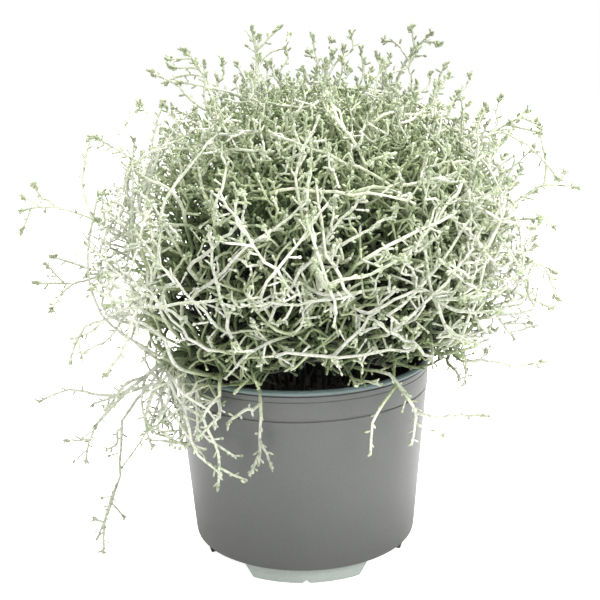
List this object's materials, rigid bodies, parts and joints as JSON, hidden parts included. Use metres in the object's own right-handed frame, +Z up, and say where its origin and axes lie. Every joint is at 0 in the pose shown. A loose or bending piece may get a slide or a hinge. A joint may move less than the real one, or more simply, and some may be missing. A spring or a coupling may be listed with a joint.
{
  "type": "potted cushion bush",
  "caption": "Dome of thin, pale, zigzag leafy stems with small buds, growing from soil in a round tapered plastic nursery pot with a rolled lip and broad feet.",
  "frame": {"origin": "centre of the pot on the plane its feet stand on", "axes": "+Z up along the pot's axis, -Y towards the front that the picture shows, +X to the right as seen from the front"},
  "size_m": [0.2794, 0.2544, 0.2672],
  "materials": {
    "pot": "grey moulded polypropylene, satin, faintly speckled",
    "soil": "dark moist peat-based potting soil",
    "foliage": "cream-white felted stems with sage-green buds"
  },
  "bodies": {
    "root": {"pot": "pot", "soil": "soil", "left_trailing_stem": "foliage", "top_left_stem": "foliage", "top_right_stem": "foliage", "high_left_stem": "foliage", "upper_left_stem": "foliage", "upper_right_stem": "foliage", "left_reaching_stem": "foliage", "right_reaching_stem": "foliage", "left_side_stem": "foliage", "right_side_stem": "foliage", "front_reaching_stem": "foliage", "back_reaching_stem": "foliage", "left_drooping_stem": "foliage", "right_drooping_stem": "foliage", "left_hanging_stem": "foliage", "left_low_stem": "foliage", "right_low_stem": "foliage", "front_left_hanging_stem": "foliage", "front_hanging_stem": "foliage", "front_right_hanging_stem": "foliage", "front_low_stem": "foliage", "back_left_drooping_stem": "foliage", "back_right_drooping_stem": "foliage", "back_hanging_stem": "foliage", "crown_stem": "foliage", "leafy_stem_1": "foliage", "leafy_stem_2": "foliage", "leafy_stem_3": "foliage", "leafy_stem_4": "foliage", "leafy_stem_5": "foliage", "leafy_stem_6": "foliage", "leafy_stem_7": "foliage", "leafy_stem_8": "foliage", "leafy_stem_9": "foliage", "leafy_stem_10": "foliage", "leafy_stem_11": "foliage", "leafy_stem_12": "foliage", "leafy_stem_13": "foliage", "leafy_stem_14": "foliage"}
  },
  "joints": []
}
